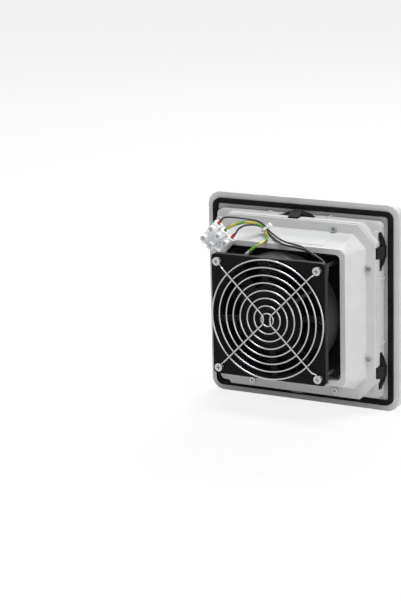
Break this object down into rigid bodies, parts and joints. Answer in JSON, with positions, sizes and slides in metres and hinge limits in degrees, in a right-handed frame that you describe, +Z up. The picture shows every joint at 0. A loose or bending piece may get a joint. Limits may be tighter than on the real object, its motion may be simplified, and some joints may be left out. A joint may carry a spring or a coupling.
{
  "type": "filter fan",
  "caption": "Square wall filter fan for an electrical enclosure: louvred cover, filter mat, snap-in frame with spring clips, axial fan with wire guard and terminal block.",
  "frame": {"origin": "centre of the square hole in the cabinet wall, on the gasket's free sealing face", "axes": "+Z up; +Y from the wall into the cabinet, along the fan's axis; +X to the right for someone who looks at the cover from outside"},
  "size_m": [0.204, 0.0958, 0.204],
  "materials": {
    "grey_plastic": "moulded, fine satin",
    "adapter_plastic": "moulded, fine satin",
    "black_plastic": "moulded, dull",
    "fan_metal": "die cast, black paint",
    "seal_rubber": "foamed, matt",
    "fleece": "bonded fibre",
    "zinc_steel": "zinc plated",
    "bare_steel": "ground",
    "bright_wire": "drawn and plated",
    "cast_alloy": "cast",
    "enamel_copper": "enamelled wire",
    "brass": "turned",
    "milky_plastic": "slightly translucent",
    "white_plastic": "smooth",
    "label_film": "satin film",
    "red_plastic": "smooth",
    "black_insulation": "smooth",
    "earth_insulation": "smooth, two-coloured"
  },
  "bodies": {
    "housing": {"base_frame": "grey_plastic", "panel_gasket": "seal_rubber", "filter_mat": "fleece", "fan_adapter": "adapter_plastic", "adapter_screws": "zinc_steel", "rating_label": "label_film", "fan_frame": "fan_metal", "stator_core": "bare_steel", "stator_windings": "enamel_copper", "front_bearing": "bare_steel", "rear_bearing": "bare_steel", "preload_spring": "bare_steel", "motor_cap": "black_plastic", "lead_grommet": "white_plastic", "motor_sleeve": "black_insulation", "finger_guard": "bright_wire", "guard_screws": "zinc_steel", "earth_terminal": "zinc_steel", "earth_screw": "zinc_steel", "terminal_bracket": "zinc_steel", "bracket_screw": "zinc_steel", "terminal_block": "milky_plastic", "block_screw": "zinc_steel", "terminal_clamps": "brass", "terminal_screws": "zinc_steel", "ferrules": "red_plastic", "ferrule_pins": "zinc_steel", "lead_black_outer": "black_insulation", "lead_black_inner": "black_insulation", "lead_earth": "earth_insulation", "cable_tie": "white_plastic"},
    "rotor": {"rotor_shaft": "bare_steel", "rotor_cup": "bare_steel", "rotor_cage": "cast_alloy", "impeller": "black_plastic", "shaft_retainer": "bare_steel"},
    "cover": {"cover_grille": "grey_plastic", "cover_badge": "white_plastic", "hinge_pins": "bare_steel"},
    "clip_top": {"clip_top": "black_plastic"},
    "clip_bottom": {"clip_bottom": "black_plastic"},
    "clip_right_upper": {"clip_right_upper": "black_plastic"},
    "clip_right_lower": {"clip_right_lower": "black_plastic"},
    "clip_left_upper": {"clip_left_upper": "black_plastic"},
    "clip_left_lower": {"clip_left_lower": "black_plastic"}
  },
  "joints": [
    {"name": "rotor_spin", "type": "hinge", "parent": "housing", "child": "rotor", "pos_m": [0, 0.0615, 0], "axis": [0, 1, 0], "continuous": true},
    {"name": "cover_hinge", "type": "hinge", "parent": "housing", "child": "cover", "pos_m": [0, -0.0095, -0.0994], "axis": [1, 0, 0], "range_deg": [0, 90]},
    {"name": "clip_press_top", "type": "slide", "parent": "housing", "child": "clip_top", "axis": [0, 0, -1], "range_m": [0, 0.0032], "stiffness_N_per_m": 800},
    {"name": "clip_press_bottom", "type": "slide", "parent": "housing", "child": "clip_bottom", "axis": [0, 0, 1], "range_m": [0, 0.0032], "stiffness_N_per_m": 800},
    {"name": "clip_press_right_upper", "type": "slide", "parent": "housing", "child": "clip_right_upper", "axis": [-1, 0, 0], "range_m": [0, 0.0032], "stiffness_N_per_m": 800},
    {"name": "clip_press_right_lower", "type": "slide", "parent": "housing", "child": "clip_right_lower", "axis": [-1, 0, 0], "range_m": [0, 0.0032], "stiffness_N_per_m": 800},
    {"name": "clip_press_left_upper", "type": "slide", "parent": "housing", "child": "clip_left_upper", "axis": [1, 0, 0], "range_m": [0, 0.0032], "stiffness_N_per_m": 800},
    {"name": "clip_press_left_lower", "type": "slide", "parent": "housing", "child": "clip_left_lower", "axis": [1, 0, 0], "range_m": [0, 0.0032], "stiffness_N_per_m": 800}
  ]
}
